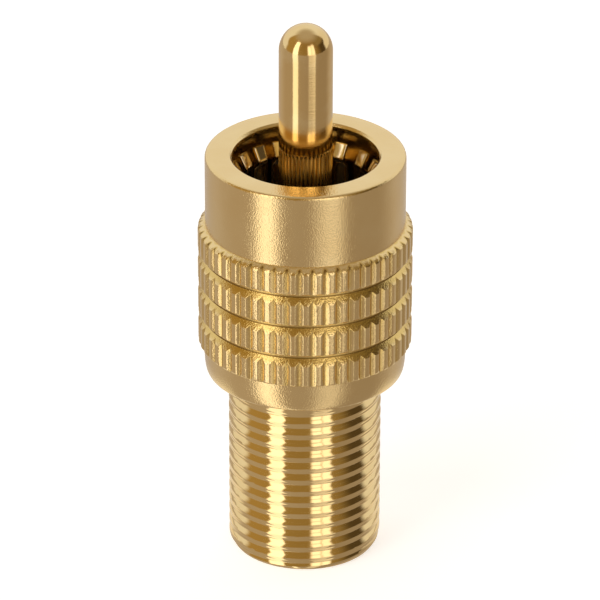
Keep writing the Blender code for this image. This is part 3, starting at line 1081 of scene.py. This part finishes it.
@dataclass
class SocketContact(Piece):
    """The slotted socket behind the entry hole: a tube with tines that close in."""

    bore: float = 0.73 * MM
    nip_radius: float = 0.46 * MM
    outer: float = 1.20 * MM
    base_height: float = 4.20 * MM
    tines: int = 4
    slot: float = 0.30 * MM

    def build(self) -> bpy.types.Object:
        """A closed tube and tines, each a curved wall carried down to the entry."""
        low, high = self.low(), self.high()
        near, entry = high - self.base_height, low + self.outer
        tube = filleted(
            [
                (self.bore, near, 0.04 * MM),
                (self.outer, near, 0.04 * MM),
                (self.outer, high, 0.04 * MM),
                (self.bore, high, 0.04 * MM),
            ],
            3,
            True,
        )
        angle = np.linspace(0.0, math.tau, 64, endpoint=False)
        grids = [(around(tube[:, :1], angle[None, :], tube[:, 1:]), True)]
        height = np.concatenate((np.linspace(near + 0.1 * MM, entry, 8), np.linspace(entry, low, 8)[1:]))
        closing = ease((near - height) / (near - entry)) * ease((height - low) / self.outer + 0.001)
        inner = self.bore - (self.bore - self.nip_radius) * closing
        half = math.pi / self.tines - self.slot / self.outer / 2
        side = np.linspace(-half, half, 12)
        for tine in range(self.tines):
            turn = math.tau * tine / self.tines + side
            inside = around(inner[:, None], turn[None, :], height[:, None])
            outside = around(np.full((len(height), 1), self.outer), turn[None, ::-1], height[:, None])
            ring = np.concatenate((inside, outside), axis=1)
            ends = (ring[:1], ring[-1:])
            caps = [end.mean(axis=1, keepdims=True).repeat(ring.shape[1], 1) for end in ends]
            grids.append((np.concatenate((caps[0], ring, caps[1]), axis=0), False))
        return joined_object("socket_surface", grids)


@dataclass(frozen=True)
class SoftBox:
    """An upright light of the studio, seen from the adapter.

    Azimuths are degrees from the camera's side, positive to its right. Heights are the sine
    of the elevation. A light that ends at the horizon is followed by its fainter gleam on the
    table, which is a box of its own.
    """

    start: float
    end: float
    start_softness: float
    end_softness: float
    lowest: float
    highest: float
    height_softness: float
    level: float


@dataclass
class Studio:
    """The light round the adapter, the floor and the lamp that throws its shadow."""

    boxes: tuple[SoftBox, ...] = (
        SoftBox(-56.5, -33.7, 2.0, 1.5, 0.0, 0.78, 0.05, 1.34),
        SoftBox(9.0, 24.3, 3.0, 2.0, 0.0, 0.62, 0.08, 1.20),
        SoftBox(25.7, 39.5, 2.0, 2.5, 0.0, 0.66, 0.08, 1.15),
        SoftBox(-56.3, -32.7, 2.0, 2.5, -1.5, 0.0, 0.01, 0.92),
        SoftBox(31.0, 41.0, 11.0, 3.5, -1.5, 0.0, 0.01, 0.20),
        SoftBox(12.0, 42.0, 4.0, 3.0, -0.430, 0.0, 0.008, 0.43),
        SoftBox(12.0, 40.0, 4.0, 4.0, -1.5, -0.484, 0.01, 0.32),
    )
    foot_softness: float = 0.008
    table_left: Colour = (0.41, 0.35, 0.30)
    table_right: Colour = (0.315, 0.265, 0.224)
    table_side: Colour = (0.47, 0.42, 0.39)
    table_back: Colour = (0.58, 0.52, 0.48)
    room_left: Colour = (0.37, 0.25, 0.09)
    room_front: Colour = (0.28, 0.19, 0.07)
    room_right: Colour = (0.08, 0.055, 0.025)
    room_high: Colour = (0.26, 0.20, 0.10)
    backdrop: Colour = (0.77, 0.76, 0.75)
    ceiling: Colour = (0.42, 0.36, 0.29)
    table_span: Span = (-90.0, 70.0)
    side_span: Span = (90.0, 128.0)
    back_span: Span = (140.0, 180.0)
    front_span: Span = (-85.0, 0.0)
    right_span: Span = (44.0, 76.0)
    high_rise: Span = (0.44, 0.58)
    high_span: Span = (35.0, 65.0)
    lean_rise: Span = (0.28, 0.52)
    lean: float = 16.0
    wall_span: Span = (89.0, 102.0)
    ceiling_rise: Span = (0.70, 0.97)
    # A glow near the adapter that only glossy rays see: a painted reflection.
    glossy_glow: Colour = (0.80, 0.75, 0.68)
    glossy_glow_reach: float = 22.0 * MM
    glossy_glow_softness: float = 4.0 * MM
    glossy_glow_front_softness: float = 1.5 * MM
    floor_colour: Colour = (0.86, 0.86, 0.86)
    floor_glow: float = 0.60
    floor_size: float = 3.0
    floor_gap: float = 0.005 * MM
    lamp_power: float = 1.1
    lamp_size: float = 0.5
    lamp_place: tuple[float, float, float] = (-0.35, -0.25, 0.75)

    def world(self) -> None:
        """A world that only reads its own direction.

        Below the horizon lies a table, warm in front and pale behind. Above it stand a dark
        room in front, with upright soft boxes, a pale backdrop behind that narrows with
        height, and a dim ceiling. Spans are azimuths in degrees, and rises are the sine of the
        elevation; each pair is where one colour starts to turn into the next and where it has.
        """
        world = bpy.data.worlds.new("studio")
        bpy.context.scene.world = world
        world.use_nodes = True
        world.cycles.sampling_method = "NONE"
        sheet = Sheet(world.node_tree)
        direction = sheet.add("ShaderNodeTexCoord").outputs["Generated"]
        parts = sheet.add("ShaderNodeSeparateXYZ", {0: direction}).outputs
        rise = parts["Z"]
        behind = sheet.maths("MULTIPLY", parts["Y"], -1.0)
        azimuth = sheet.maths("MULTIPLY", sheet.maths("ARCTAN2", parts["X"], behind), 180.0 / math.pi)
        away = sheet.maths("ABSOLUTE", azimuth)
        table = sheet.blend(sheet.ramp(azimuth, *self.table_span), self.table_left, self.table_right)
        table = sheet.blend(sheet.ramp(away, *self.side_span), table, self.table_side)
        table = sheet.blend(sheet.ramp(away, *self.back_span), table, self.table_back)
        room = sheet.blend(sheet.ramp(azimuth, *self.front_span), self.room_left, self.room_front)
        room = sheet.blend(sheet.ramp(azimuth, *self.right_span), room, self.room_right)
        high = sheet.ramp(rise, *self.high_rise)
        high = sheet.maths("MULTIPLY", high, sheet.ramp(azimuth, *self.high_span))
        room = sheet.blend(high, room, self.room_high)
        leaning = sheet.maths("SUBTRACT", away, sheet.ramp(rise, *self.lean_rise, 0.0, self.lean))
        walls = sheet.blend(sheet.ramp(leaning, *self.wall_span), room, self.backdrop)
        walls = sheet.blend(sheet.ramp(rise, *self.ceiling_rise), walls, self.ceiling)
        level = sheet.blend(sheet.edge(rise, 0.0, 0.01), table, walls)
        for box in self.boxes:
            strength = box.level
            for step in (
                sheet.edge(azimuth, box.start, box.start_softness),
                sheet.edge(azimuth, box.end, box.end_softness, True),
                sheet.edge(rise, box.lowest, self.foot_softness),
                sheet.edge(rise, box.highest, box.height_softness, True),
            ):
                strength = sheet.maths("MULTIPLY", step, strength)
            grey = sheet.add("ShaderNodeCombineColor", dict.fromkeys(range(3), strength)).outputs[0]
            level = sheet.blend(1.0, level, grey, "ADD")
        seen = sheet.add("ShaderNodeLightPath").outputs["Is Camera Ray"]
        background = world.node_tree.nodes["Background"]
        sheet.feed(background.inputs["Color"], sheet.blend(seen, level, WHITE))

    def floor(self) -> None:
        """A pale floor that keeps the shadow, and that metal sees the studio's table through.

        Close to the adapter and beside or behind it, the floor glows for glossy rays only, a painted
        reflection that makes the thread's crests bright at its sides. The floor lies a hair under the
        adapter, and from below it is clear.
        """
        half, low = self.floor_size / 2, -self.floor_gap
        mesh = bpy.data.meshes.new("studio_floor")
        corners = [(-half, -half, low), (half, -half, low), (half, half, low), (-half, half, low)]
        mesh.from_pydata(corners, [], [(0, 1, 2, 3)])
        made = bpy.data.objects.new("studio_floor", mesh)
        bpy.context.scene.collection.objects.link(made)
        material = bpy.data.materials.new("floor_paper")
        material.use_nodes = True
        nodes = material.node_tree.nodes
        nodes.remove(nodes["Principled BSDF"])
        sheet = Sheet(material.node_tree)
        path = sheet.add("ShaderNodeLightPath").outputs
        paper = sheet.add("ShaderNodeBsdfDiffuse", {"Color": self.floor_colour}).outputs[0]
        strength = sheet.maths("MULTIPLY", path["Is Camera Ray"], self.floor_glow)
        glow = sheet.add("ShaderNodeEmission", {"Color": WHITE, "Strength": strength}).outputs[0]
        lit = sheet.add("ShaderNodeAddShader", {0: paper, 1: glow}).outputs[0]
        clear = sheet.add("ShaderNodeBsdfTransparent").outputs[0]
        place = sheet.place()
        ahead = sheet.add("ShaderNodeSeparateXYZ", {0: place}).outputs["Y"]
        # Painted reflection: near the adapter, beside and behind it, the floor glows for glossy rays only.
        near = sheet.edge(sheet.length(place), self.glossy_glow_reach, self.glossy_glow_softness, True)
        beside = sheet.edge(ahead, 0.0, self.glossy_glow_front_softness)
        bright = sheet.add("ShaderNodeEmission", {"Color": self.glossy_glow}).outputs[0]
        mirrored = sheet.mix(sheet.maths("MULTIPLY", near, beside), clear, bright)
        chosen = sheet.mix(path["Is Glossy Ray"], lit, mirrored)
        under = sheet.add("ShaderNodeNewGeometry").outputs["Backfacing"]
        sheet.feed(nodes["Material Output"].inputs["Surface"], sheet.mix(under, chosen, clear))
        material.cycles.emission_sampling = "NONE"
        mesh.materials.append(material)

    def lamp(self) -> None:
        """A large soft lamp, up and to the left, for the shadow on the floor."""
        light = bpy.data.lights.new("soft_lamp", "AREA")
        light.shape = "DISK"
        light.size = self.lamp_size
        light.energy = self.lamp_power
        made = bpy.data.objects.new("soft_lamp", light)
        made.location = self.lamp_place
        aim = -made.location
        made.rotation_euler = aim.to_track_quat("-Z", "Y").to_euler()
        made.visible_glossy = False
        bpy.context.scene.collection.objects.link(made)

    def build(self) -> None:
        """Sets up the light and the floor."""
        self.world()
        self.floor()
        self.lamp()


@dataclass
class PhotoCamera:
    """A camera at the photograph's place, for a picture of 600 by 600."""

    picture: float = 600.0
    focal_px: float = 4896.0
    distance: float = 0.300
    elevation: float = math.radians(27.52)
    aim_height: float = 16.50 * MM
    axis_px: float = 305.1
    roll: float = math.radians(0.15)
    sensor: float = 36.0

    def build(self) -> None:
        """Adds the camera and makes it the scene's."""
        data = bpy.data.cameras.new("photo_camera")
        data.sensor_width = self.sensor
        data.lens = self.focal_px / self.picture * self.sensor
        data.clip_start = 0.01
        data.clip_end = 10.0
        made = bpy.data.objects.new("photo_camera", data)
        aside = -(self.axis_px - self.picture / 2) * self.distance / self.focal_px
        back, up = math.cos(self.elevation), math.sin(self.elevation)
        made.location = (aside, -self.distance * back, self.aim_height + self.distance * up)
        tilt = Matrix.Rotation(math.pi / 2 - self.elevation, 3, "X")
        made.rotation_euler = (tilt @ Matrix.Rotation(self.roll, 3, "Z")).to_euler()
        bpy.context.scene.collection.objects.link(made)
        bpy.context.scene.camera = made


def main() -> None:
    """Builds the adapter's pieces in order, then the studio and the camera."""
    logging.basicConfig(level=logging.INFO, format="%(name)s %(message)s")
    groups = {"grain": plated_grain_group(), "lines": turning_lines_group(), "tone": gold_tone_and_shade_group()}
    pieces = (
        GripShell("grip_shell", SHELL_FINISH),
        ThreadedBarrel("threaded_barrel", BARREL_FINISH),
        ContactCrown("contact_crown", CROWN_FINISH),
        CenterPin("center_pin", PIN_FINISH),
        SocketContact("socket_contact", SOCKET_FINISH),
        Bush(
            "pin_insulator",
            FRONT_PLASTIC,
            name="front_bush_surface",
            outer=4.92 * MM,
            small_bore=1.66 * MM,
            large_bore=2.33 * MM,
            step_height=0.93 * MM,
            small_end_is_low=False,
        ),
        Bush(
            "rear_insulator",
            REAR_PLASTIC,
            name="rear_bush_surface",
            outer=3.57 * MM,
            small_bore=0.75 * MM,
            large_bore=1.23 * MM,
            step_height=1.20 * MM,
            small_end_is_low=True,
        ),
    )
    for piece in pieces:
        piece.dress(groups)
    Studio().build()
    PhotoCamera().build()
    bpy.context.scene.view_settings.view_transform = "Standard"


if __name__ == "__main__":
    main()
